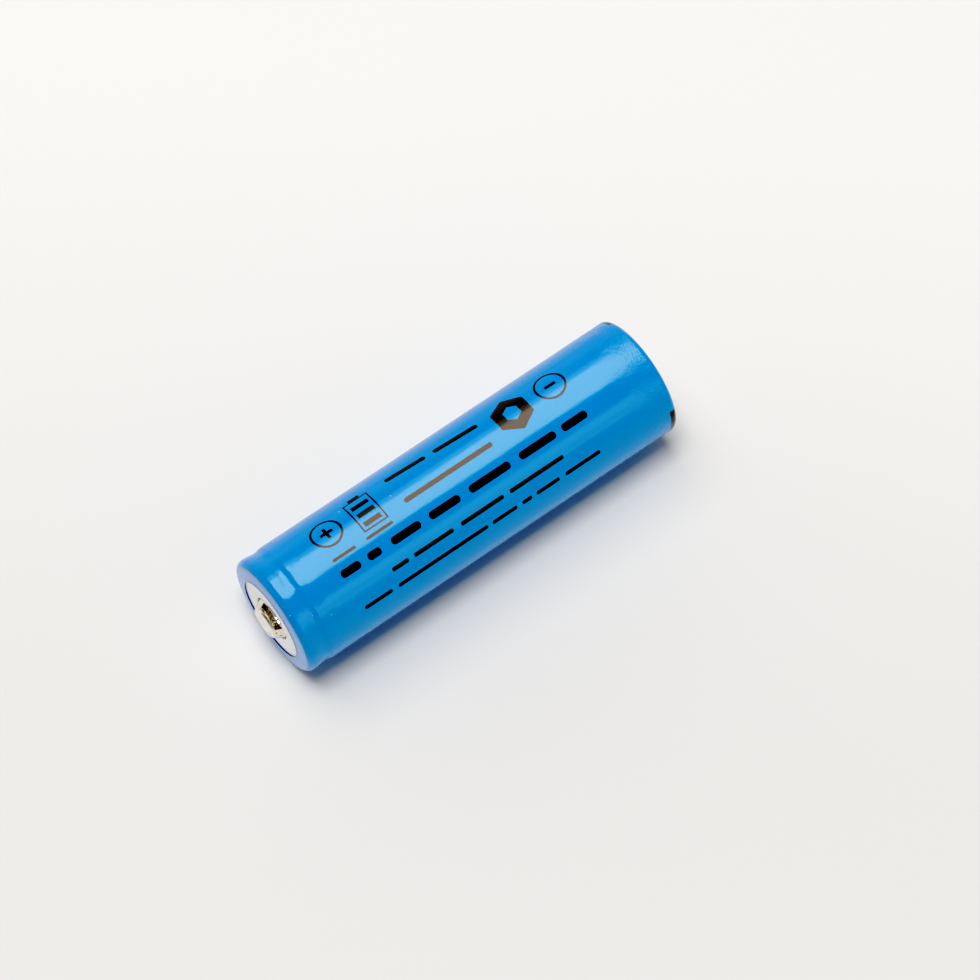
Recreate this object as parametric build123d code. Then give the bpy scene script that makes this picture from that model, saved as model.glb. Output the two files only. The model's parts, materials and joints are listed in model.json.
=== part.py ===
from build123d import *

import math
import os

# Cylindrical rechargeable lithium-ion cell with a raised, vented positive button.
#
# Millimetres, +Z up. The cell lies on its side: its axis is Y, the origin is the centre
# of the negative contact face, that face looks along +Y, and the button points along -Y.
#
# Every piece is drawn upright first, with its heights counted from the negative contact
# face towards the button, and is then laid down by export_lying().

# ---- Driving dimensions -------------------------------------------------------------

OVERALL_LENGTH = 50.6
CELL_RADIUS = 7.05
SLEEVE_WALL = 0.10

# Steel can
CAN_WALL = 0.20
CAN_FLOOR = 0.25
CAN_FOOT_RADIUS = 0.55
PAD_RADIUS = 5.20
PAD_RISE = 0.15
BEAD_HEIGHT = 47.15
BEAD_WIDTH = 0.80
BEAD_DEPTH = 0.80
BEAD_MOUTH_EDGE = 0.36
BEAD_BOTTOM_EDGE = 0.30
CRIMP_RADIUS = 1.00
CRIMP_MOUTH_RADIUS = 4.75

# Positive button
BUTTON_RISE = 1.03
BUTTON_BASE_RADIUS = 2.50
BUTTON_TOP_RADIUS = 1.80
BUTTON_WALL = 0.28
BUTTON_TOP_WALL = 0.25
NECK_RISE = 0.10
# Window angles about the axis, in degrees from +X; the set repeats half a turn on
WINDOW_START = 30.0
SHORT_WINDOW = 25.0
WINDOW_BAR = 5.0
LONG_WINDOW = 62.0

# White ring over the crimp, and the sleeve's lips
WASHER_THICKNESS = 0.25
WASHER_RADIUS = 5.90
WASHER_BORE_RADIUS = 2.66
SLEEVE_DIP = 0.15
SLEEVE_DIP_HALF_WIDTH = 0.56
SLEEVE_DIP_EDGE = 1.30
SLEEVE_FRONT_LIP_RADIUS = 4.80
SLEEVE_REAR_LIP_RADIUS = 5.45

# Stack of pieces held by the crimp, from the top down
GASKET_TOP = 0.22
FLANGE_THICKNESS = 0.28
PTC_THICKNESS = 0.30
VENT_RIM_THICKNESS = 0.18
CID_FLANGE_THICKNESS = 0.20
CID_DISC_THICKNESS = 0.50
STACK_RADIUS = 6.20
CURVED_GAP = 0.02
GASKET_LOW_LIP_RADIUS = 5.35
CID_COLLAR_RADIUS = 5.25
CID_POCKET_RADIUS = 5.00

# Vent diaphragm, inside the score line of the vent disc
SCORE_RADIUS = 3.30
DIAPHRAGM_WALL = 0.12
DIAPHRAGM_SETBACK = 0.03
DIAPHRAGM_DISH = 0.19
WELD_NUB_RADIUS = 0.60

# Wound electrode roll
CORE_RADIUS = 1.57
ROLL_PITCH = 0.36
HALF_TURNS = 27
SEPARATOR_WALL = 0.03
ELECTRODE_WALL = 0.13
LAYER_GAP = 0.01
ROLL_TURN = 48.0
ROLL_LOW = 1.00
ANODE_MARGIN = 0.70
CATHODE_MARGIN = 1.20
WINDING_TAPE_WALL = 0.05
WINDING_TAPE_MARGIN = 7.00

# Leads, their tapes and the two insulating plates
TAB_WALL = 0.10
TAB_WIDTH = 2.80
TAB_TAPE_WALL = 0.02
TAB_TAPE_GAP = 0.005
TAB_END_MARGIN = 2.00
TAB_TAPE_LENGTH = 5.00
PLATE_THICKNESS = 0.20

# ---- Heights worked out from them ---------------------------------------------------

can_radius = CELL_RADIUS - SLEEVE_WALL
can_bore_radius = can_radius - CAN_WALL
washer_top = OVERALL_LENGTH - BUTTON_RISE
crimp_top = washer_top - WASHER_THICKNESS
crimp_underside = crimp_top - CAN_WALL
floor_height = PAD_RISE + CAN_FLOOR
bead_low = BEAD_HEIGHT - BEAD_WIDTH / 2
bead_high = BEAD_HEIGHT + BEAD_WIDTH / 2
bead_ledge = bead_high + CAN_WALL
flange_top = crimp_underside - GASKET_TOP
flange_low = flange_top - FLANGE_THICKNESS
ptc_low = flange_low - PTC_THICKNESS
vent_low = ptc_low - VENT_RIM_THICKNESS
cid_top = vent_low - CID_FLANGE_THICKNESS
cid_low = cid_top - CID_DISC_THICKNESS
bead_underside = bead_low - CAN_WALL
upper_plate_top = bead_underside - PLATE_THICKNESS
upper_plate_low = upper_plate_top - PLATE_THICKNESS
roll_high = upper_plate_low - 0.15
separator_span = (ROLL_LOW, roll_high)
anode_span = (ROLL_LOW + ANODE_MARGIN, roll_high - ANODE_MARGIN)
cathode_span = (ROLL_LOW + CATHODE_MARGIN, roll_high - CATHODE_MARGIN)
tape_span = (ROLL_LOW + WINDING_TAPE_MARGIN, roll_high - WINDING_TAPE_MARGIN)


# ---- Shared shapes ------------------------------------------------------------------


def turned(points, radii=0):
    """Solid of revolution from (radius, height) corners, each rounded by its own radius."""
    if not isinstance(radii, list):
        radii = [radii] * len(points)
    outline = FilletPolyline(*points, radius=radii, close=True)
    return revolve(Plane.XZ * make_face(outline), Axis.Z)


def ring(inner_radius, outer_radius, low, high):
    """Flat washer, or a plain disc when the inner radius is 0."""
    return turned([(inner_radius, low), (outer_radius, low), (outer_radius, high), (inner_radius, high)])


def sector(inner_radius, outer_radius, low, high, start, sweep):
    """Slice of a ring between two angles, in degrees from +X."""
    corners = [(inner_radius, low), (outer_radius, low), (outer_radius, high), (inner_radius, high)]
    face = Plane.XZ * make_face(FilletPolyline(*corners, radius=0, close=True))
    return Rot(0, 0, start) * revolve(face, Axis.Z, sweep)


def export_lying(shape, name):
    """Lay an upright piece on its side, button towards -Y, and write it."""
    laid = Rot(90, 0, 0) * shape
    laid.label = name
    export_step(laid, f"parts/{name}.step")


# ---- Casing -------------------------------------------------------------------------


def make_can():
    """Drawn steel cup: coined negative pad, beaded neck and crimped-over mouth."""
    groove_radius = can_radius - BEAD_DEPTH
    pad_slope = 0.10
    outside = [
        (0, 0),
        (PAD_RADIUS, 0),
        (PAD_RADIUS + pad_slope, PAD_RISE),
        (can_radius, PAD_RISE),
        (can_radius, bead_low),
        (groove_radius, bead_low),
        (groove_radius, bead_high),
        (can_radius, bead_high),
        (can_radius, crimp_top),
        (CRIMP_MOUTH_RADIUS, crimp_top),
    ]
    mouth, bottom = BEAD_MOUTH_EDGE, BEAD_BOTTOM_EDGE
    pad_edges = [0.08, 0.05]
    outside_radii = [0, *pad_edges, CAN_FOOT_RADIUS, mouth, bottom, bottom, mouth, CRIMP_RADIUS, 0]
    inside = [
        (CRIMP_MOUTH_RADIUS, crimp_underside),
        (can_bore_radius, crimp_underside),
        (can_bore_radius, bead_ledge),
        (groove_radius - CAN_WALL, bead_ledge),
        (groove_radius - CAN_WALL, bead_low - CAN_WALL),
        (can_bore_radius, bead_low - CAN_WALL),
        (can_bore_radius, floor_height),
        (0, floor_height),
    ]
    mouth -= CAN_WALL
    bottom += CAN_WALL
    foot = CAN_FOOT_RADIUS - CAN_WALL
    inside_radii = [0, CRIMP_RADIUS - CAN_WALL, mouth, bottom, bottom, mouth, foot, 0]
    return turned(outside + inside, outside_radii + inside_radii)


def make_sleeve():
    """Shrunk film tube: folds over the washer in front and round the foot behind."""
    front = washer_top + SLEEVE_WALL
    rear = PAD_RISE - SLEEVE_WALL
    dip_low = BEAD_HEIGHT - SLEEVE_DIP_HALF_WIDTH
    dip_high = BEAD_HEIGHT + SLEEVE_DIP_HALF_WIDTH
    foot = CAN_FOOT_RADIUS + SLEEVE_WALL
    shoulder = CRIMP_RADIUS + SLEEVE_WALL
    outside = [
        (SLEEVE_REAR_LIP_RADIUS, rear),
        (CELL_RADIUS, rear),
        (CELL_RADIUS, dip_low),
        (CELL_RADIUS - SLEEVE_DIP, BEAD_HEIGHT),
        (CELL_RADIUS, dip_high),
        (CELL_RADIUS, front),
        (SLEEVE_FRONT_LIP_RADIUS, front),
    ]
    dip_edge = SLEEVE_DIP_EDGE
    outside_radii = [0, foot, dip_edge, dip_edge - SLEEVE_WALL, dip_edge, shoulder, 0]
    inside = [
        (SLEEVE_FRONT_LIP_RADIUS, washer_top),
        (can_radius, washer_top),
        (can_radius, dip_high),
        (can_radius - SLEEVE_DIP, BEAD_HEIGHT),
        (can_radius, dip_low),
        (can_radius, PAD_RISE),
        (SLEEVE_REAR_LIP_RADIUS, PAD_RISE),
    ]
    dip_edge -= SLEEVE_WALL
    inside_radii = [0, CRIMP_RADIUS, dip_edge, SLEEVE_DIP_EDGE, dip_edge, CAN_FOOT_RADIUS, 0]
    return turned(outside + inside, outside_radii + inside_radii)


def make_washer():
    """White insulating ring between the crimped mouth and the button."""
    return ring(WASHER_BORE_RADIUS, WASHER_RADIUS, crimp_top, washer_top)


# ---- Header: what the crimp holds ---------------------------------------------------


def make_gasket():
    """Plastic seal: C-shaped section, clamped between the can and the header stack."""
    wall_radius = STACK_RADIUS + CURVED_GAP
    lip_radius = CRIMP_MOUTH_RADIUS + 0.05
    edge = 0.05
    points = [
        (lip_radius, crimp_underside),
        (can_bore_radius, crimp_underside),
        (can_bore_radius, bead_ledge),
        (GASKET_LOW_LIP_RADIUS, bead_ledge),
        (GASKET_LOW_LIP_RADIUS, cid_top),
        (wall_radius, cid_top),
        (wall_radius, flange_top),
        (lip_radius, flange_top),
    ]
    corner = BEAD_MOUTH_EDGE - CAN_WALL
    return turned(points, [edge, CRIMP_RADIUS - CAN_WALL, corner, edge, 0, 0, 0, edge])


def make_positive_cap():
    """Pressed nickel-plated cap: flange, short neck, cone with vent windows, flat top."""
    neck_height = washer_top - NECK_RISE
    inner_neck = BUTTON_BASE_RADIUS - BUTTON_WALL
    inner_top = BUTTON_TOP_RADIUS - BUTTON_WALL
    ceiling = OVERALL_LENGTH - BUTTON_TOP_WALL
    points = [
        (0, OVERALL_LENGTH),
        (BUTTON_TOP_RADIUS, OVERALL_LENGTH),
        (BUTTON_BASE_RADIUS, neck_height),
        (BUTTON_BASE_RADIUS, flange_top),
        (STACK_RADIUS, flange_top),
        (STACK_RADIUS, flange_low),
        (inner_neck, flange_low),
        (inner_neck, neck_height - NECK_RISE),
        (inner_top, ceiling),
        (0, ceiling),
    ]
    cap = turned(points, [0, 0.14, 0.20, 0.15, 0.05, 0.05, 0.20, 0.15, 0.05, 0])
    cut = (inner_top - 0.30, BUTTON_BASE_RADIUS + 0.30, washer_top + 0.04, ceiling)
    for half in (0, 180):
        short_start = WINDOW_START + half
        long_start = short_start + SHORT_WINDOW + WINDOW_BAR
        cap -= sector(*cut, short_start, SHORT_WINDOW)
        cap -= sector(*cut, long_start, LONG_WINDOW)
    return cap


def make_ptc_ring():
    """Self-resetting overcurrent ring under the cap's flange."""
    return ring(SCORE_RADIUS + 0.60, STACK_RADIUS, ptc_low, flange_low)


def make_vent_disc():
    """Aluminium vent disc from its score line outwards."""
    return ring(SCORE_RADIUS + CURVED_GAP, STACK_RADIUS, vent_low, ptc_low)


def make_vent_diaphragm():
    """Dished middle of the vent disc, with the nub welded to the disc below it."""
    rim_low = vent_low + DIAPHRAGM_SETBACK
    dish_low = rim_low - DIAPHRAGM_DISH
    dish_radius = SCORE_RADIUS - 2.0
    ledge_radius = SCORE_RADIUS - 0.7
    points = [
        (0, dish_low + DIAPHRAGM_WALL),
        (dish_radius, dish_low + DIAPHRAGM_WALL),
        (ledge_radius, rim_low + DIAPHRAGM_WALL),
        (SCORE_RADIUS, rim_low + DIAPHRAGM_WALL),
        (SCORE_RADIUS, rim_low),
        (ledge_radius, rim_low),
        (dish_radius, dish_low),
        (WELD_NUB_RADIUS, dish_low),
        (WELD_NUB_RADIUS, cid_top + CURVED_GAP),
        (0, cid_top + CURVED_GAP),
    ]
    return turned(points)


def make_cid_insulator():
    """Plastic ring that keeps the interrupt disc off the vent disc's rim."""
    lip_radius = CID_POCKET_RADIUS - 0.40
    flange_radius = CID_POCKET_RADIUS - 0.70
    lip_low = cid_low - 0.15
    points = [
        (flange_radius, vent_low),
        (STACK_RADIUS, vent_low),
        (STACK_RADIUS, cid_top),
        (CID_COLLAR_RADIUS, cid_top),
        (CID_COLLAR_RADIUS, lip_low),
        (lip_radius, lip_low),
        (lip_radius, cid_low),
        (CID_POCKET_RADIUS, cid_low),
        (CID_POCKET_RADIUS, cid_top),
        (flange_radius, cid_top),
    ]
    return turned(points)


def make_cid_contact_disc():
    """Interrupt disc: gas holes in a ring round the spot that the diaphragm is welded to."""
    hole_radius = 0.45
    hole_circle_radius = 2.60
    hole_count = 6
    disc = ring(0, CID_POCKET_RADIUS - CURVED_GAP, cid_low, cid_top)
    for index in range(hole_count):
        turn = Rot(0, 0, 30 + index * 360 / hole_count)
        hole = Cylinder(hole_radius, 4 * CID_DISC_THICKNESS)
        disc -= turn * Pos(hole_circle_radius, 0, cid_top) * hole
    return disc


# ---- Electrode roll -----------------------------------------------------------------
# A sheet is wound as half circles about two centres half a pitch apart, so that every
# half turn is a true arc and neighbouring sheets stay parallel.


def half_turn_centre(index):
    """Centre of one half turn: even ones about the axis, odd ones half a pitch along +X."""
    return ROLL_PITCH / 2 if index % 2 else 0


def roll_point(index, offset, angle):
    """Point at an angle on a half turn, at an offset outwards within the pitch."""
    radius = CORE_RADIUS + index * ROLL_PITCH / 2 + offset
    x = half_turn_centre(index) + radius * math.cos(math.radians(angle))
    return (x, radius * math.sin(math.radians(angle)))


def roll_arc(index, offset, start, end):
    """Arc on one half turn between two angles."""
    middle = roll_point(index, offset, (start + end) / 2)
    return ThreePointArc(roll_point(index, offset, start), middle, roll_point(index, offset, end))


def wound(first, last, offset, wall, span):
    """Sheet wound from one half turn to another, both included."""
    sides = []
    for side_offset in (offset, offset + wall):
        for index in range(first, last + 1):
            start = 180 * (index % 2)
            sides.append(roll_arc(index, side_offset, start, start + 180))
    begin = 180 * (first % 2)
    end = 180 * (last % 2) + 180
    sides.append(Line(roll_point(first, offset, begin), roll_point(first, offset + wall, begin)))
    sides.append(Line(roll_point(last, offset, end), roll_point(last, offset + wall, end)))
    low, high = span
    sheet = extrude(make_face(Wire(Curve() + sides)), high - low)
    return Rot(0, 0, ROLL_TURN) * Pos(0, 0, low) * sheet


def roll_strip(index, offset, wall, start, end, span):
    """Short curved strip inside one half turn."""
    sides = [
        roll_arc(index, offset, start, end),
        roll_arc(index, offset + wall, start, end),
        Line(roll_point(index, offset, start), roll_point(index, offset + wall, start)),
        Line(roll_point(index, offset, end), roll_point(index, offset + wall, end)),
    ]
    low, high = span
    strip = extrude(make_face(Wire(Curve() + sides)), high - low)
    return Rot(0, 0, ROLL_TURN) * Pos(0, 0, low) * strip


def strip_angle(index, offset):
    """Angle that a tab's width takes up on one half turn."""
    radius = CORE_RADIUS + index * ROLL_PITCH / 2 + offset
    return math.degrees(TAB_WIDTH / radius)


def folded_strip(points, radii, turn):
    """Flat strip bent to (radius, height) centre-line points, as wide as a tab."""
    centre_line = FilletPolyline(*points, radius=radii)
    section = offset(centre_line, TAB_WALL / 2, side=Side.BOTH)
    face = Plane.XZ * make_face(section)
    return Rot(0, 0, turn) * extrude(face, TAB_WIDTH / 2, both=True)


inner_separator_offset = 0.0
cathode_offset = inner_separator_offset + SEPARATOR_WALL + LAYER_GAP
outer_separator_offset = cathode_offset + ELECTRODE_WALL + LAYER_GAP
anode_offset = outer_separator_offset + SEPARATOR_WALL + LAYER_GAP
wrap_offset = anode_offset + ELECTRODE_WALL + LAYER_GAP


def make_positive_tab():
    """Aluminium lead: rises from the start of the cathode and folds up to the interrupt disc."""
    sweep = strip_angle(1, cathode_offset)
    strip_offset = cathode_offset + TAB_TAPE_WALL + TAB_TAPE_GAP
    low_leaf = upper_plate_top + CURVED_GAP + TAB_WALL / 2
    high_leaf = cid_low - TAB_WALL / 2
    rise_span = (ROLL_LOW + TAB_END_MARGIN, low_leaf)
    rise = roll_strip(1, strip_offset, TAB_WALL, 360 - sweep, 360, rise_span)
    reach = 3.90
    weld_end = -1.40
    bend = 0.98 * (high_leaf - low_leaf) / 2
    centre_line = [(1.30, low_leaf), (reach, low_leaf), (reach, high_leaf), (weld_end, high_leaf)]
    fold = folded_strip(centre_line, [bend, bend], ROLL_TURN - sweep / 2)
    return rise + fold


def make_positive_tab_tape():
    """Insulating tape on the inner face of the positive lead, where it leaves the roll."""
    sweep = strip_angle(1, cathode_offset)
    span = (upper_plate_top - TAB_TAPE_LENGTH, upper_plate_top)
    return roll_strip(1, cathode_offset, TAB_TAPE_WALL, 360 - sweep, 360, span)


def make_negative_tab():
    """Nickel lead: runs down from the end of the anode and folds across the can's floor."""
    last = HALF_TURNS - 1
    sweep = strip_angle(last, anode_offset)
    strip_offset = anode_offset + TAB_TAPE_WALL + TAB_TAPE_GAP
    rise_span = (ROLL_LOW - 0.06, roll_high - TAB_END_MARGIN)
    rise = roll_strip(last, strip_offset, TAB_WALL, 0, sweep, rise_span)
    fall = CORE_RADIUS + last * ROLL_PITCH / 2 + strip_offset + TAB_WALL / 2 - 0.03
    low_leaf = floor_height + TAB_WALL / 2
    weld_end = -1.50
    bend = 0.45
    centre_line = [(fall, ROLL_LOW - 0.02), (fall, low_leaf), (weld_end, low_leaf)]
    fold = folded_strip(centre_line, [bend], ROLL_TURN + sweep / 2)
    return rise + fold


def make_negative_tab_tape():
    """Insulating tape on the inner face of the negative lead, where it leaves the roll."""
    last = HALF_TURNS - 1
    sweep = strip_angle(last, anode_offset)
    span = (ROLL_LOW, ROLL_LOW + TAB_TAPE_LENGTH)
    return roll_strip(last, anode_offset, TAB_TAPE_WALL, 0, sweep, span)


def make_upper_insulator():
    """Plate between the roll and the bead, with a hole for the positive lead."""
    hole_radius = 2.20
    return ring(hole_radius, can_bore_radius - 0.10, upper_plate_low, upper_plate_top)


def make_lower_insulator():
    """Plate between the roll and the negative lead lying on the can's floor."""
    hole_radius = 1.50
    rim_radius = 5.85
    low = floor_height + TAB_WALL
    return ring(hole_radius, rim_radius, low, low + PLATE_THICKNESS)


# ---- All pieces ---------------------------------------------------------------------


def make_pieces():
    """Every piece by name, upright."""
    last = HALF_TURNS - 1
    separator_inner = wound(0, last, inner_separator_offset, SEPARATOR_WALL, separator_span)
    separator_outer = wound(0, last, outer_separator_offset, SEPARATOR_WALL, separator_span)
    return {
        "heat_shrink_sleeve": make_sleeve(),
        "top_insulating_washer": make_washer(),
        "can": make_can(),
        "seal_gasket": make_gasket(),
        "positive_cap": make_positive_cap(),
        "ptc_ring": make_ptc_ring(),
        "vent_disc": make_vent_disc(),
        "vent_diaphragm": make_vent_diaphragm(),
        "cid_insulator": make_cid_insulator(),
        "cid_contact_disc": make_cid_contact_disc(),
        "positive_tab": make_positive_tab(),
        "positive_tab_tape": make_positive_tab_tape(),
        "upper_insulator": make_upper_insulator(),
        "separator_inner": separator_inner,
        "cathode_sheet": wound(2, last - 2, cathode_offset, ELECTRODE_WALL, cathode_span),
        "separator_outer": separator_outer,
        "anode_sheet": wound(1, last - 1, anode_offset, ELECTRODE_WALL, anode_span),
        "winding_tape": wound(last - 1, last, wrap_offset, WINDING_TAPE_WALL, tape_span),
        "negative_tab": make_negative_tab(),
        "negative_tab_tape": make_negative_tab_tape(),
        "lower_insulator": make_lower_insulator(),
    }


os.makedirs("parts", exist_ok=True)
for piece_name, piece in make_pieces().items():
    export_lying(piece, piece_name)
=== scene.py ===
import json
import math

import bmesh
import bpy
from mathutils import Matrix, Vector

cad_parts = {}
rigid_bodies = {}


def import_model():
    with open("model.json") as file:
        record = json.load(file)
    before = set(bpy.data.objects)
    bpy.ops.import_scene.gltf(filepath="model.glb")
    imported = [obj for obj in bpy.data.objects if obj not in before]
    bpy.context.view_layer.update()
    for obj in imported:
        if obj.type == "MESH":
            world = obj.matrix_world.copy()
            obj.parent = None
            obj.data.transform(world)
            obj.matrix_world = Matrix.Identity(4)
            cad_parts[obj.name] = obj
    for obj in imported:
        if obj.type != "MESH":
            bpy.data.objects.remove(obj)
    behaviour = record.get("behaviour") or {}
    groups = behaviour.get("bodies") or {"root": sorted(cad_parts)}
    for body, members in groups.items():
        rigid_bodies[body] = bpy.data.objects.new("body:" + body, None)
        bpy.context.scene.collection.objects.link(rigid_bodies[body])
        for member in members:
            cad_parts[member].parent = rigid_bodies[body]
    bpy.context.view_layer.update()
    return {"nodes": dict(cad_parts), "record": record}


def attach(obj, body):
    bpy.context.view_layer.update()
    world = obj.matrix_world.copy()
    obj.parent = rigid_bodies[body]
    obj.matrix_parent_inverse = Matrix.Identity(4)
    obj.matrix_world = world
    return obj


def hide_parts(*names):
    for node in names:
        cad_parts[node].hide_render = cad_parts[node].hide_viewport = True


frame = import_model()

MM = 0.001
CELL = "cell"
LENGTH = 50.6
RADIUS = 7.05
FLOOR_Z = -RADIUS * MM
FLOOR_RADIUS = 0.42

# ---- Node helpers -------------------------------------------------------------------


class Mat:
    """One node material, built with short calls."""

    def __init__(self, name, **sockets):
        self.material = bpy.data.materials.new(name)
        self.material.use_nodes = True
        self.tree = self.material.node_tree
        self.tree.nodes.clear()
        self.out = self.node("ShaderNodeOutputMaterial")
        self.shader = self.node("ShaderNodeBsdfPrincipled")
        self.link(self.shader.outputs["BSDF"], self.out.inputs["Surface"])
        self.coord = self.node("ShaderNodeTexCoord").outputs["Object"]
        for name, value in sockets.items():
            self.shader.inputs[name.replace("_", " ")].default_value = value

    def node(self, kind, **settings):
        made = self.tree.nodes.new(kind)
        for key, value in settings.items():
            if key.startswith("in_"):
                made.inputs[key[3:].replace("_", " ")].default_value = value
            else:
                setattr(made, key, value)
        return made

    def link(self, a, b):
        self.tree.links.new(a, b)

    def mapped(self, scale, location=(0, 0, 0)):
        m = self.node("ShaderNodeMapping")
        m.inputs["Scale"].default_value = scale
        m.inputs["Location"].default_value = location
        self.link(self.coord, m.inputs["Vector"])
        return m.outputs["Vector"]

    def along(self):
        """Position on the cell's axis, as Y in metres: 0 at the rear, negative towards the button."""
        split = self.node("ShaderNodeSeparateXYZ")
        self.link(self.coord, split.inputs[0])
        return split.outputs["Y"]

    def noise(self, scale, detail=2.0, rough=0.5, vector=None):
        n = self.node("ShaderNodeTexNoise", in_Scale=scale, in_Detail=detail, in_Roughness=rough)
        self.link(vector or self.coord, n.inputs["Vector"])
        return n.outputs["Fac"]

    def ramp(self, value, stops):
        r = self.node("ShaderNodeValToRGB")
        elements = r.color_ramp.elements
        while len(elements) < len(stops):
            elements.new(0.5)
        for element, (position, colour) in zip(elements, stops):
            element.position = position
            element.color = (*colour, 1)
        self.link(value, r.inputs["Fac"])
        return r.outputs["Color"]

    def span(self, value, low, high, to_low, to_high):
        m = self.node("ShaderNodeMapRange")
        for key, number in (("From Min", low), ("From Max", high), ("To Min", to_low), ("To Max", to_high)):
            m.inputs[key].default_value = number
        self.link(value, m.inputs["Value"])
        return m.outputs["Result"]

    def math(self, operation, a, b):
        m = self.node("ShaderNodeMath", operation=operation)
        for i, x in enumerate((a, b)):
            if isinstance(x, (int, float)):
                m.inputs[i].default_value = x
            else:
                self.link(x, m.inputs[i])
        return m.outputs[0]

    def mix(self, fac, a, b):
        m = self.node("ShaderNodeMix", data_type="RGBA")
        for socket, x in zip((m.inputs["Factor"], m.inputs[6], m.inputs[7]), (fac, a, b)):
            if isinstance(x, (int, float)):
                socket.default_value = x
            elif isinstance(x, tuple):
                socket.default_value = (*x, 1)
            else:
                self.link(x, socket)
        return m.outputs[2]

    def bump(self, height, distance, strength=1.0, normal=None):
        b = self.node("ShaderNodeBump", in_Strength=strength, in_Distance=distance)
        self.link(height, b.inputs["Height"])
        if normal:
            self.link(normal, b.inputs["Normal"])
        self.link(b.outputs["Normal"], self.shader.inputs["Normal"])
        return b.outputs["Normal"]

    def colour(self, value):
        self.link(value, self.shader.inputs["Base Color"])

    def rough(self, value):
        self.link(value, self.shader.inputs["Roughness"])


# ---- Materials ----------------------------------------------------------------------

# Y in metres where each effect on the film starts and is full
REAR_SHRINK = (-0.0060, -0.0026)
FRONT_SHRINK = (-0.0435, -0.0460)
FOLD_START, FOLD_FULL = -0.04952, -0.04959
# Distance from the axis over which the painted shade on the cut edge of the front lip ends
LIP_SHADE_START, LIP_SHADE_END = 0.00483, 0.00487


def film_material():
    """Blue shrink film: clear gloss, pigment drift, dust, hairlines, paler front fold (shrink whitening
    plus painted reflection), painted shade on the lip's cut edge.
    """
    m = Mat("sleeve_film", Roughness=0.1, IOR=1.57, Specular_Tint=(0.56, 1.0, 0.74, 1))
    drift = m.noise(260, 3, 0.6)
    tone = m.ramp(drift, [(0.3, (0.0012, 0.186, 0.548)), (0.7, (0.0014, 0.198, 0.566))])
    speck = m.node("ShaderNodeTexVoronoi", in_Scale=620.0)
    m.link(m.coord, speck.inputs["Vector"])
    dust = m.span(speck.outputs["Distance"], 0.022, 0.042, 1, 0)
    gate = m.span(m.noise(90, 1), 0.50, 0.56, 0, 1)
    dust = m.math("MULTIPLY", dust, gate)
    hairline = m.node("ShaderNodeTexVoronoi", in_Scale=420.0)
    m.link(m.mapped((1, 0.13, 1)), hairline.inputs["Vector"])
    hair = m.span(hairline.outputs["Distance"], 0.014, 0.026, 0.7, 0)
    hair_gate = m.span(m.noise(70, 1, 0.5, m.mapped((1, 1, 1), (0.02, 0.01, 0))), 0.53, 0.58, 0, 1)
    dust = m.math("MAXIMUM", dust, m.math("MULTIPLY", hair, hair_gate))
    # Front fold paled toward lilac: partly shrink whitening, partly a painted reflection of the bright
    # floor in front of the lip.
    fold_paling_and_sheen = m.span(m.along(), FOLD_START, FOLD_FULL, 0, 0.9)
    tone = m.mix(fold_paling_and_sheen, tone, (0.16, 0.30, 0.66))
    # Painted shade: dark navy on the front lip's cut edge, standing in for the shadowed gap between the lip
    # and the washer.
    from_axis = m.node("ShaderNodeVectorMath", operation="LENGTH")
    m.link(m.mapped((1, 0, 1)), from_axis.inputs[0])
    lip_gap_shade = m.span(from_axis.outputs["Value"], LIP_SHADE_START, LIP_SHADE_END, 1, 0)
    tone = m.mix(m.math("MULTIPLY", fold_paling_and_sheen, lip_gap_shade), tone, (0.0, 0.02, 0.22))
    m.colour(m.mix(dust, tone, (0.75, 0.80, 0.86)))
    streaks = m.noise(900, 4, 0.7, m.mapped((1, 0.12, 1)))
    m.rough(m.math("ADD", m.span(streaks, 0.3, 0.8, 0.12, 0.19), m.math("MULTIPLY", dust, 0.4)))
    film_relief(m, pebbled=True)
    return m.material


def film_relief(m, pebbled):
    """Orange peel everywhere, wrinkles where the film shrank round both ends, pebbling at its rear."""
    along = m.along()
    rear = m.span(along, *REAR_SHRINK, 0, 1)
    front = m.span(along, *FRONT_SHRINK, 0, 1)
    ends = m.math("ADD", m.math("MAXIMUM", rear, front), 0.06)
    wrinkle = m.math("MULTIPLY", m.noise(640, 1.5, 0.45), ends)
    folds = m.bump(wrinkle, 0.00014, 0.7)
    if pebbled:
        pebble = m.math("MULTIPLY", m.noise(4200, 2, 0.6), rear)
        folds = m.bump(pebble, 0.00008, 0.7, folds)
    m.bump(m.noise(950, 3, 0.55), 0.000009, 0.6, folds)


def ink_material():
    """Flexographic black under the film's gloss."""
    m = Mat("print_ink", Roughness=0.16, IOR=1.45, Specular_Tint=(1.0, 0.80, 0.66, 1))
    mottle = m.noise(2600, 3, 0.6)
    m.colour(m.ramp(mottle, [(0.3, (0.004, 0.004, 0.004)), (0.75, (0.010, 0.009, 0.009))]))
    m.rough(m.span(mottle, 0.3, 0.8, 0.13, 0.24))
    film_relief(m, pebbled=False)
    return m.material


def fibre_material():
    """White pressed fibre: short matted fibres, a few darker ones."""
    m = Mat("washer_fibre", Roughness=0.75, IOR=1.45)
    fibres = m.noise(5200, 4, 0.7, m.mapped((1, 1, 0.35)))
    soft = m.noise(900, 2)
    tone = m.ramp(fibres, [(0.3, (0.84, 0.83, 0.82)), (0.6, (0.92, 0.91, 0.90))])
    m.colour(m.mix(m.span(soft, 0.3, 0.7, 0, 0.25), tone, (0.86, 0.84, 0.81)))
    m.bump(fibres, 0.00002, 0.6)
    return m.material


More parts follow.
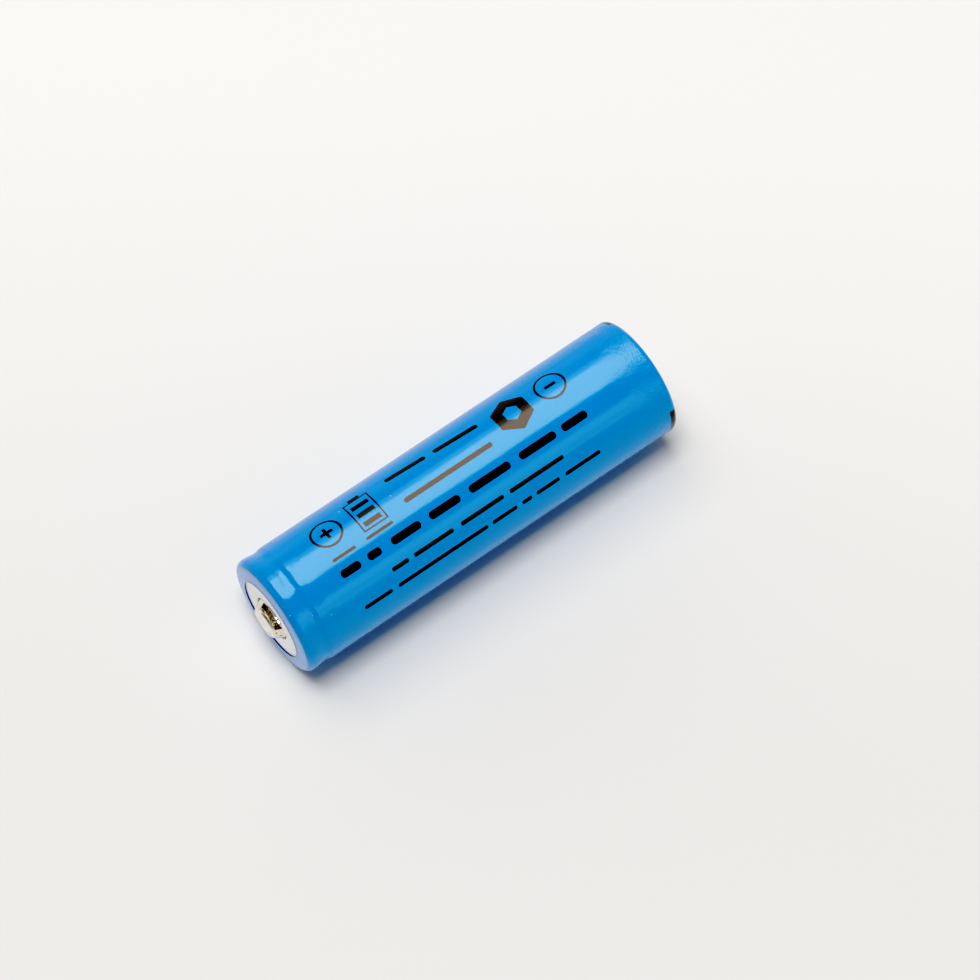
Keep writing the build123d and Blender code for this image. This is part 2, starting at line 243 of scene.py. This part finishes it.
def turned_metal(name, colour, rough, marks=0.000003, scale=9000.0, metallic=1.0, dark=0.75):
    """Plated or bare metal with fine turned or rolled marks and light handling wear."""
    m = Mat(name, Metallic=metallic, Roughness=rough)
    handling = m.noise(1400, 4, 0.65)
    shade = tuple(c * dark for c in colour)
    m.colour(m.mix(m.span(handling, 0.45, 0.75, 0, 0.6), colour, shade))
    m.rough(m.span(handling, 0.35, 0.75, rough * 0.75, min(rough * 1.7, 1)))
    lines = m.noise(scale, 3, 0.6, m.mapped((1, 0.02, 1)))
    m.bump(lines, marks, 0.5)
    return m.material


def nickel_material():
    """Bright nickel on pressed steel, rubbed and lightly scratched."""
    m = Mat("cap_nickel", Metallic=1.0, Roughness=0.22)
    wear = m.noise(1500, 2, 0.5)
    scratch = m.noise(7000, 3, 0.6, m.mapped((0.08, 1, 1)))
    tone = m.ramp(wear, [(0.35, (0.82, 0.78, 0.70)), (0.65, (0.74, 0.695, 0.61))])
    rub = m.noise(2600, 2, 0.5, m.mapped((0.13, 1, 1), (0.003, 0, 0.001)))
    rub = m.span(rub, 0.59, 0.69, 0, 0.85)
    m.colour(m.mix(rub, tone, (0.13, 0.075, 0.03)))
    m.rough(m.math("ADD", m.span(wear, 0.3, 0.8, 0.13, 0.22), m.span(scratch, 0.55, 0.8, 0, 0.08)))
    n = m.bump(m.noise(1300, 2), 0.00002, 0.35)
    m.bump(scratch, 0.0000015, 0.5, n)
    return m.material


def plain_material(name, low, high, rough, scale=1800.0, height=0.000008, **more):
    """Moulded or coated surface with fine mottling."""
    m = Mat(name, Roughness=rough, **more)
    grain = m.noise(scale, 4, 0.65)
    m.colour(m.ramp(grain, [(0.3, low), (0.7, high)]))
    m.rough(m.span(grain, 0.3, 0.7, max(rough - 0.08, 0.05), min(rough + 0.1, 1)))
    m.bump(m.noise(scale * 3, 2), height, 0.5)
    return m.material


materials = {
    "sleeve_film": film_material(),
    "print_ink": ink_material(),
    "washer_fibre": fibre_material(),
    "can_steel": turned_metal("can_steel", (0.60, 0.585, 0.55), 0.24, dark=0.86),
    "gasket_plastic": plain_material("gasket_plastic", (0.010, 0.010, 0.011), (0.022, 0.022, 0.024), 0.42),
    "cap_nickel": nickel_material(),
    "ptc_polymer": plain_material("ptc_polymer", (0.006, 0.006, 0.006), (0.02, 0.02, 0.02), 0.6, 4000.0),
    "vent_aluminium": turned_metal("vent_aluminium", (0.80, 0.81, 0.82), 0.30),
    "contact_aluminium": turned_metal("contact_aluminium", (0.76, 0.77, 0.79), 0.33),
    "insulator_plastic": plain_material("insulator_plastic", (0.74, 0.72, 0.64), (0.82, 0.80, 0.73), 0.45),
    "tab_aluminium": turned_metal("tab_aluminium", (0.78, 0.79, 0.80), 0.36),
    "tab_nickel": turned_metal("tab_nickel", (0.66, 0.63, 0.58), 0.30),
    "tape_film": plain_material("tape_film", (0.42, 0.17, 0.018), (0.50, 0.22, 0.03), 0.18, 600.0,
                                Coat_Weight=0.5),
    "separator_film": plain_material("separator_film", (0.84, 0.84, 0.83), (0.90, 0.90, 0.89), 0.5, 2500.0),
    "cathode_coating": plain_material("cathode_coating", (0.010, 0.010, 0.012), (0.022, 0.022, 0.025), 0.62,
                                      5200.0, 0.000012),
    "anode_coating": plain_material("anode_coating", (0.022, 0.022, 0.023), (0.042, 0.042, 0.044), 0.5,
                                    4600.0, 0.000012),
}

node_slots = {p["node"]: p["material_slot"] for p in frame["record"]["subparts"]}
for name, node in frame["nodes"].items():
    node.data.materials.clear()
    node.data.materials.append(materials[node_slots[name]])

# ---- Sleeve skin --------------------------------------------------------------------

# All in mm from the rear contact face; angles in degrees
DIP_AT, DIP_HALF, DIP_DEPTH, DIP_ROUND = 47.15, 0.56, 0.15, 1.30
WAIST_AT, WAIST_LOW, WAIST_HIGH, WAIST_DEPTH = 47.25, 0.85, 1.32, 0.13
CREST_AT, CREST_HALF, CREST_RISE = 45.7, 0.9, 0.014
FRONT_PLANE, REAR_PLANE = 49.67, 0.05
WALL = 0.10
SHOULDER, FOOT = 1.10, 0.65
RIDGE_ROUND, RIDGE_HEIGHT, RIDGE_TURN = 0.85, 48.78, 62
# Radius and height of the film's slow fall from the ridge to the flat of the front lip
FRONT_FALL = [(6.565, 49.545), (6.525, 49.560), (6.47, 49.572), (6.20, 49.607), (5.90, 49.637),
              (5.60, 49.655)]
FRONT_LIP, REAR_LIP = 4.80, 5.45
LIP_CURL = 0.10
WAVE_HEIGHT = 0.010
WAIST_FROM, WAIST_SPAN = DIP_AT - 1.8, 3.5
# Steps along the barrel and the waist, on the film's two faces
OUTER_STEPS, INNER_STEPS = (84, 64), (8, 24)
AROUND = 360


def wave(height, angle):
    """Radial unevenness of the shrunk film over the can, in mm."""
    a = math.radians(angle)
    ends = min(1.0, max(0.0, (height - 1.2) / 3.0), max(0.0, (FRONT_PLANE - 1.5 - height) / 2.0))
    slow = math.sin(2 * a + 0.21 * height) * 0.35 + math.sin(3 * a - 0.34 * height + 1.0) * 0.3
    mid = math.sin(7 * a + 0.9 * height + 0.4) * math.sin(0.55 * height - 2 * a) * 0.35
    return WAVE_HEIGHT * ends * (slow + mid)


def arc(centre, radius, start, end, steps):
    """Points of an arc in the (radius, height) plane, angles in degrees."""
    points = []
    for i in range(steps + 1):
        a = math.radians(start + (end - start) * i / steps)
        points.append((centre[0] + radius * math.cos(a), centre[1] + radius * math.sin(a)))
    return points


def dip_depth(height):
    """Depth of the film's soft waist over the can's bead, in mm."""
    d = (height - WAIST_AT) / (WAIST_LOW if height < WAIST_AT else WAIST_HIGH)
    waist = WAIST_DEPTH * math.cos(math.pi / 2 * d) ** 2 if abs(d) < 1 else 0.0
    e = (height - CREST_AT) / CREST_HALF
    return waist - (CREST_RISE * math.cos(math.pi / 2 * e) ** 2 if abs(e) < 1 else 0.0)


def tight_dip(height):
    """Depth of the film's inner face there, which follows the can."""
    slope = DIP_DEPTH / DIP_HALF
    t = DIP_ROUND * math.tan(math.atan(slope) / 2)
    d = abs(height - DIP_AT)
    if d >= DIP_HALF + t:
        return 0.0
    if d > DIP_HALF - t:
        return (DIP_HALF + t - d) ** 2 / (4 * t) * slope
    if d > t:
        return (DIP_HALF - d) * slope
    return DIP_DEPTH - slope * (t / 2 + d * d / (2 * t))


def sleeve_line(inset):
    """Film surface from the rear lip to the front lip, inset from the outside."""
    r = RADIUS - inset
    rear, front = REAR_PLANE + inset, FRONT_PLANE - inset
    foot, shoulder = FOOT - inset, SHOULDER - inset
    line = [(REAR_LIP, rear), (REAR_LIP + 0.4, rear)]
    line += arc((r - foot, rear + foot), foot, -90, 0, 14)
    barrel, waist = INNER_STEPS if inset else OUTER_STEPS
    start = rear + foot
    heights = [start + (WAIST_FROM - start) * i / barrel for i in range(1, barrel + 1)]
    heights += [WAIST_FROM + WAIST_SPAN * i / waist for i in range(1, waist + 1)]
    dip = tight_dip if inset else dip_depth
    top = front - shoulder if inset else RIDGE_HEIGHT
    line += [(r - dip(h), h) for h in heights if h < top - 0.01]
    if inset:
        line += arc((r - shoulder, front - shoulder), shoulder, 0, 90, 18)
    else:
        line += arc((r - RIDGE_ROUND, RIDGE_HEIGHT), RIDGE_ROUND, 0, RIDGE_TURN, 18)
        line += FRONT_FALL
    curl = 0.0 if inset else LIP_CURL
    line += [(FRONT_LIP + 0.45, front), (FRONT_LIP + 0.2, front + 0.3 * curl), (FRONT_LIP, front + curl)]
    return line


def laid(radius, height, angle):
    a = math.radians(angle)
    return Vector((radius * math.cos(a), -height, radius * math.sin(a))) * MM


def new_object(name, bm, slot_name, sharp):
    """Visual piece on the cell's body, smooth apart from edges over the sharp angle."""
    bmesh.ops.recalc_face_normals(bm, faces=bm.faces)
    mesh = bpy.data.meshes.new(name)
    bm.to_mesh(mesh)
    bm.free()
    mesh.polygons.foreach_set("use_smooth", [True] * len(mesh.polygons))
    mesh.set_sharp_from_angle(angle=math.radians(sharp))
    mesh.materials.append(materials[slot_name])
    piece = bpy.data.objects.new(name, mesh)
    bpy.context.scene.collection.objects.link(piece)
    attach(piece, CELL)
    return piece


def make_sleeve():
    outer = sleeve_line(0.0)
    inner = sleeve_line(WALL)
    loop = outer + inner[::-1]
    bm = bmesh.new()
    rings = []
    for i, (r, h) in enumerate(loop):
        on_barrel = 1.0 if r > RADIUS - 0.35 else 0.0
        rings.append([bm.verts.new(laid(r + on_barrel * wave(h, 360 * k / AROUND), h, 360 * k / AROUND))
                      for k in range(AROUND)])
    for a, b in zip(rings, rings[1:] + rings[:1]):
        for k in range(AROUND):
            n = (k + 1) % AROUND
            bm.faces.new((a[k], a[n], b[n], b[k]))
    sleeve = new_object("sleeve_skin", bm, "sleeve_film", sharp=50)
    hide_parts("heat_shrink_sleeve")


make_sleeve()

# ---- Print: generic polarity marks, plain bars and blocks ---------------------------

# The ink stands this far out of the film, starts this far inside it, and bends at every slice
INK_RISE = 0.006
INK_ROOT = 0.03
SLICE = 0.22
BAR_ROUNDING = 0.45


class Print:
    """Flat shapes drawn in (height, arc) mm, wrapped round the barrel as thin ink."""

    def __init__(self, name):
        self.name = name
        self.bm = bmesh.new()

    def face(self, points):
        self.bm.faces.new([self.bm.verts.new((s, t, 0)) for s, t in points])

    def bar(self, high, low, t, width, tilt):
        """Rounded bar between two heights, centred on arc position t, leaning by tilt mm per mm."""
        r = min(width, high - low) * BAR_ROUNDING
        points = []
        for cs, ct, start in ((high - r, width / 2 - r, 0), (low + r, width / 2 - r, 90),
                              (low + r, r - width / 2, 180), (high - r, r - width / 2, 270)):
            for i in range(7):
                a = math.radians(start + 15 * i)
                points.append((cs + r * math.cos(a), ct + r * math.sin(a)))
        middle = (low + high) / 2
        self.face([(s, t + ct + tilt * (s - middle)) for s, ct in points])

    def ring(self, s, t, outer, inner, sides=64, turn=0.0):
        for i in range(sides):
            a, b = (math.radians(turn + 360 * k / sides) for k in (i, i + 1))
            self.face([(s + outer * math.cos(a), t + outer * math.sin(a)),
                       (s + outer * math.cos(b), t + outer * math.sin(b)),
                       (s + inner * math.cos(b), t + inner * math.sin(b)),
                       (s + inner * math.cos(a), t + inner * math.sin(a))])

    def block(self, s0, s1, t0, t1):
        self.face([(s0, t0), (s1, t0), (s1, t1), (s0, t1)])

    def build(self):
        bm = self.bm
        bmesh.ops.remove_doubles(bm, verts=bm.verts, dist=0.0005)
        ts = [v.co.y for v in bm.verts]
        step = math.floor(min(ts) / SLICE) + 1
        while step * SLICE < max(ts):
            bmesh.ops.bisect_plane(bm, geom=bm.verts[:] + bm.edges[:] + bm.faces[:],
                                   plane_co=(0, step * SLICE, 0), plane_no=(0, 1, 0), dist=0.0005)
            step += 1
        ss = [v.co.x for v in bm.verts]
        step = math.floor(min(ss)) + 1
        while step < max(ss):
            bmesh.ops.bisect_plane(bm, geom=bm.verts[:] + bm.edges[:] + bm.faces[:],
                                   plane_co=(step, 0, 0), plane_no=(1, 0, 0), dist=0.0005)
            step += 1
        flat = bm.faces[:]
        raised = bmesh.ops.extrude_face_region(bm, geom=flat)["geom"]
        top = {v for v in raised if isinstance(v, bmesh.types.BMVert)}
        for v in bm.verts:
            height, angle = v.co.x, math.degrees(v.co.y / RADIUS)
            surface = RADIUS - dip_depth(height) + wave(height, angle)
            if height < REAR_PLANE + FOOT:
                surface -= FOOT - math.sqrt(max(0.0, FOOT**2 - (REAR_PLANE + FOOT - height) ** 2))
            v.co = laid(surface + (INK_RISE if v in top else -INK_ROOT), height, angle)
        new_object(self.name, bm, "print_ink", sharp=40)


# Circled plus and minus: heights, arc position of both, half lengths and half widths of the strokes
PLUS_AT, MINUS_AT = 40.67, 10.91
RING_T = math.radians(107.1) * RADIUS
PLUS_LONG, PLUS_WIDE = 0.77, 0.19
MINUS_LONG, MINUS_WIDE = 0.70, 0.20

plus = Print("print_plus")
plus.ring(PLUS_AT, RING_T, 1.88, 1.60)
plus.block(PLUS_AT - PLUS_LONG, PLUS_AT + PLUS_LONG, RING_T - PLUS_WIDE, RING_T + PLUS_WIDE)
plus.block(PLUS_AT - PLUS_WIDE, PLUS_AT + PLUS_WIDE, RING_T + PLUS_WIDE, RING_T + PLUS_LONG)
plus.block(PLUS_AT - PLUS_WIDE, PLUS_AT + PLUS_WIDE, RING_T - PLUS_LONG, RING_T - PLUS_WIDE)
plus.build()

minus = Print("print_minus")
minus.ring(MINUS_AT, RING_T, 1.87, 1.60)
minus.block(MINUS_AT - MINUS_LONG, MINUS_AT + MINUS_LONG, RING_T - MINUS_WIDE, RING_T + MINUS_WIDE)
minus.build()

# Width, lean, arc position, and the two heights of each bar in the line
lines = {
    "print_bar_a": (0.66, 0.058, 14.5, [(31.9, 26.7), (25.7, 20.0)]),
    "print_bar_b": (0.60, 0.0, 11.1, [(31.8, 20.2)]),
    "print_bar_c": (0.90, 0.0, 8.15, [(42.2, 39.7), (38.7, 37.0), (35.6, 31.8), (30.6, 26.6),
                                       (25.3, 19.9), (18.6, 13.8), (12.9, 9.6)]),
    "print_bar_d": (0.52, 0.0, 5.55, [(37.1, 34.9), (34.2, 29.0), (28.0, 22.3), (21.5, 14.3)]),
    "print_bar_e": (0.52, 0.0, 3.45, [(41.6, 38.0), (37.2, 25.3), (24.7, 21.4), (20.7, 19.4),
                                       (18.8, 15.7), (14.9, 10.2)]),
    "print_bar_f": (0.36, 0.0, 9.93, [(42.1, 39.1), (37.7, 34.2)]),
}
for name, (width, tilt, t, words) in lines.items():
    p = Print(name)
    middle = (words[0][0] + words[-1][1]) / 2
    for high, low in words:
        p.bar(high, low, t + tilt * ((high + low) / 2 - middle), width, tilt)
    p.build()

# Battery outline icon, standing across the barrel
icon = Print("print_cell_icon")
ICON_S, ICON_T, ICON_HALF, ICON_LOW, ICON_HIGH, PEN = 35.8, 13.1, 1.6, 2.5, 2.0, 0.2
foot, head = ICON_T - ICON_LOW, ICON_T + ICON_HIGH
icon.block(ICON_S - ICON_HALF, ICON_S - ICON_HALF + PEN, foot, head)
icon.block(ICON_S + ICON_HALF - PEN, ICON_S + ICON_HALF, foot, head)
for low, high in ((foot, foot + PEN), (head - PEN, head)):
    icon.block(ICON_S - ICON_HALF + PEN, ICON_S + ICON_HALF - PEN, low, high)
icon.block(ICON_S - 0.7, ICON_S + 0.7, head, head + 0.5)
for k in range(3):
    low = ICON_T - 2.0 + 1.25 * k
    icon.block(ICON_S - 1.1, ICON_S + 1.1, low, low + 0.62)
icon.build()

# Solid hexagonal ring
nut = Print("print_hex_ring")
nut.ring(16.2, 12.9, 2.45, 1.05, sides=6, turn=30)
nut.build()

# Dark blocks at the rear edge: top height and the angles they run between
edges = {"print_edge_a": (0.77, 131.8, 192.0), "print_edge_b": (1.01, -40.0, 20.0)}
for name, (top, a0, a1) in edges.items():
    p = Print(name)
    rows = [REAR_PLANE + FOOT - FOOT * math.cos(math.radians(a)) for a in range(36, 91, 6)] + [top]
    for low, high in zip(rows, rows[1:]):
        p.block(low, high, math.radians(a0) * RADIUS, math.radians(a1) * RADIUS)
    p.build()

# ---- Stage, light and camera --------------------------------------------------------

scene = bpy.context.scene
scene.view_settings.view_transform = "Standard"
scene.view_settings.use_curve_mapping = True
tone_curve = scene.view_settings.curve_mapping.curves[3]
for dark, shown in ((0.04, 0.002), (0.08, 0.026), (0.12, 0.083), (0.18, 0.174), (0.30, 0.30), (0.6, 0.6)):
    tone_curve.points.new(dark, shown)
scene.view_settings.curve_mapping.update()


def floor():
    """Round sheet of white paper, with painted light falloff: slightly brighter away from the camera."""
    m = Mat("floor", Roughness=0.7, IOR=1.3)
    tone = m.ramp(m.noise(9, 2), [(0.3, (0.803, 0.790, 0.770)), (0.7, (0.809, 0.796, 0.776))])
    # Painted light falloff: the paper's colour darkens toward the camera and brightens away from it.
    falloff_along = m.node("ShaderNodeVectorMath", operation="DOT_PRODUCT")
    m.link(m.coord, falloff_along.inputs[0])
    falloff_along.inputs[1].default_value = (-0.75, 0.66, 0.0)
    painted_falloff = m.node("ShaderNodeMapRange", interpolation_type="SMOOTHSTEP")
    m.link(falloff_along.outputs["Value"], painted_falloff.inputs["Value"])
    for key, number in (("From Min", -0.03), ("From Max", 0.06), ("To Min", 0.94), ("To Max", 1.05)):
        painted_falloff.inputs[key].default_value = number
    scaled = m.node("ShaderNodeVectorMath", operation="SCALE")
    m.link(tone, scaled.inputs[0])
    m.link(painted_falloff.outputs["Result"], scaled.inputs["Scale"])
    m.colour(scaled.outputs["Vector"])
    bm = bmesh.new()
    bmesh.ops.create_circle(bm, cap_ends=True, segments=96, radius=FLOOR_RADIUS)
    mesh = bpy.data.meshes.new("floor")
    bm.to_mesh(mesh)
    bm.free()
    mesh.materials.append(m.material)
    plane = bpy.data.objects.new("floor", mesh)
    plane.location = (0, -LENGTH / 2 * MM, FLOOR_Z)
    scene.collection.objects.link(plane)


floor()

AIM = Vector((1.62, -21.66, 0.06)) * MM

lit = {}
for name in ("cell", "floor"):
    lit[name] = bpy.data.collections.new("lit_" + name)
for o in scene.objects:
    if o.type == "MESH":
        lit["floor" if o.name == "floor" else "cell"].objects.link(o)


def softbox(name, across, along, size, radiance, on, distance=0.7, gloss=True):
    """Area light at an angle across (from +X to +Z) and a tilt along +Y, for the cell or the floor.

    Cell lights seen in the gloss stop at the cell, so the film throws no blue patch on the floor.
    """
    a, b = math.radians(across), math.radians(along)
    direction = Vector((math.cos(a) * math.cos(b), math.sin(b), math.sin(a) * math.cos(b)))
    light = bpy.data.lights.new(name, "AREA")
    light.shape = "RECTANGLE"
    light.size, light.size_y = size
    light.energy = radiance * math.pi * size[0] * size[1]
    lamp = bpy.data.objects.new(name, light)
    side = Vector((0, 1, 0)).cross(direction).normalized()
    up = direction.cross(side)
    place = Matrix((side, up, direction)).transposed().to_4x4()
    place.translation = AIM + direction * distance
    lamp.matrix_world = place
    lamp.light_linking.receiver_collection = lit[on]
    lamp.visible_glossy = gloss
    if on == "cell" and gloss:
        light.cycles.max_bounces = 0
    scene.collection.objects.link(lamp)


softbox("key", 107.5, 14, (0.555, 0.44), 3.6, "cell")
softbox("key_apron", 112.5, 14, (0.70, 0.46), 1.9, "cell")
softbox("fill", 34, 14, (0.34, 0.5), 1.2, "cell")
softbox("fill_core", 40, 14, (0.14, 0.5), 0.7, "cell")
softbox("side", 10, 0, (0.5, 0.7), 1.5, "cell", gloss=False)
softbox("front", 97, -58, (0.5, 0.3), 1.8, "cell", gloss=False)
softbox("floor_key", 89.5, -6, (1.20, 1.07), 11.5, "floor", distance=3.0)
softbox("floor_wide", 107, -6, (2.83, 2.00), 2.5, "floor", distance=3.0)


def under_cap():
    """Small light inside the button, for the dull gleam behind its windows."""
    glow = bpy.data.lights.new("under_cap", "POINT")
    glow.energy = 0.00011
    glow.shadow_soft_size = 0.0004
    glow.color = (1.0, 0.88, 0.74)
    glint = bpy.data.objects.new("under_cap", glow)
    glint.location = (0.0006, -0.0500, 0.0002)
    lit["under_cap"] = bpy.data.collections.new("lit_under_cap")
    for name in ("positive_cap", "ptc_ring", "vent_disc"):
        lit["under_cap"].objects.link(frame["nodes"][name])
    glint.light_linking.receiver_collection = lit["under_cap"]
    scene.collection.objects.link(glint)


under_cap()


def studio_world():
    """Pale low walls, brightest towards -X, under a dim ceiling, with nothing below the floor."""
    world = bpy.data.worlds.new("studio")
    scene.world = world
    world.use_nodes = True
    tree = world.node_tree
    tree.nodes.clear()

    def node(kind, *links, **settings):
        made = tree.nodes.new(kind)
        for key, value in settings.items():
            setattr(made, key, value)
        for socket, x in zip(made.inputs, links):
            if isinstance(x, bpy.types.NodeSocket):
                tree.links.new(x, socket)
            elif x is not None:
                socket.default_value = x
        return made

    direction = node("ShaderNodeTexCoord").outputs["Generated"]
    split = node("ShaderNodeSeparateXYZ", direction)
    toward = node("ShaderNodeVectorMath", direction, (-1.0, -0.10, 0.0), operation="DOT_PRODUCT")
    wall = node("ShaderNodeMapRange", toward.outputs["Value"], -0.2, 0.55, 0.30, 0.80,
                interpolation_type="SMOOTHSTEP")
    height = node("ShaderNodeMapRange", split.outputs["Z"], 0.25, 0.62, 1.0, 0.0,
                  interpolation_type="SMOOTHSTEP")
    above = node("ShaderNodeMapRange", split.outputs["Z"], -0.02, 0.0, 0.0, 1.0)
    low = node("ShaderNodeMath", wall.outputs[0], height.outputs[0], operation="MULTIPLY")
    level = node("ShaderNodeMath", low.outputs[0], 0.14, operation="ADD")
    level = node("ShaderNodeMath", level.outputs[0], above.outputs[0], operation="MULTIPLY")
    light = node("ShaderNodeBackground", None, level.outputs[0])
    seen = node("ShaderNodeBackground", (0.86, 0.86, 0.85, 1), 1.0)
    path = node("ShaderNodeLightPath").outputs["Is Camera Ray"]
    mixed = node("ShaderNodeMixShader", path, light.outputs[0], seen.outputs[0])
    light.inputs["Color"].default_value = (1, 1, 1, 1)
    node("ShaderNodeOutputWorld", mixed.outputs[0])


studio_world()

camera = bpy.data.cameras.new("camera")
camera.sensor_width = 36
camera.lens = 173.25
camera.clip_start = 0.01
camera.clip_end = 20
eye = bpy.data.objects.new("camera", camera)
CAMERA_DISTANCE = 0.5125
azimuth, elevation = math.radians(53.51), math.radians(64.28)
view_back = Vector((math.sin(azimuth) * math.cos(elevation), -math.cos(azimuth) * math.cos(elevation),
                    math.sin(elevation)))
eye.location = AIM + view_back * CAMERA_DISTANCE
eye.rotation_euler = (math.pi / 2 - elevation, 0, azimuth)
scene.collection.objects.link(eye)
scene.camera = eye
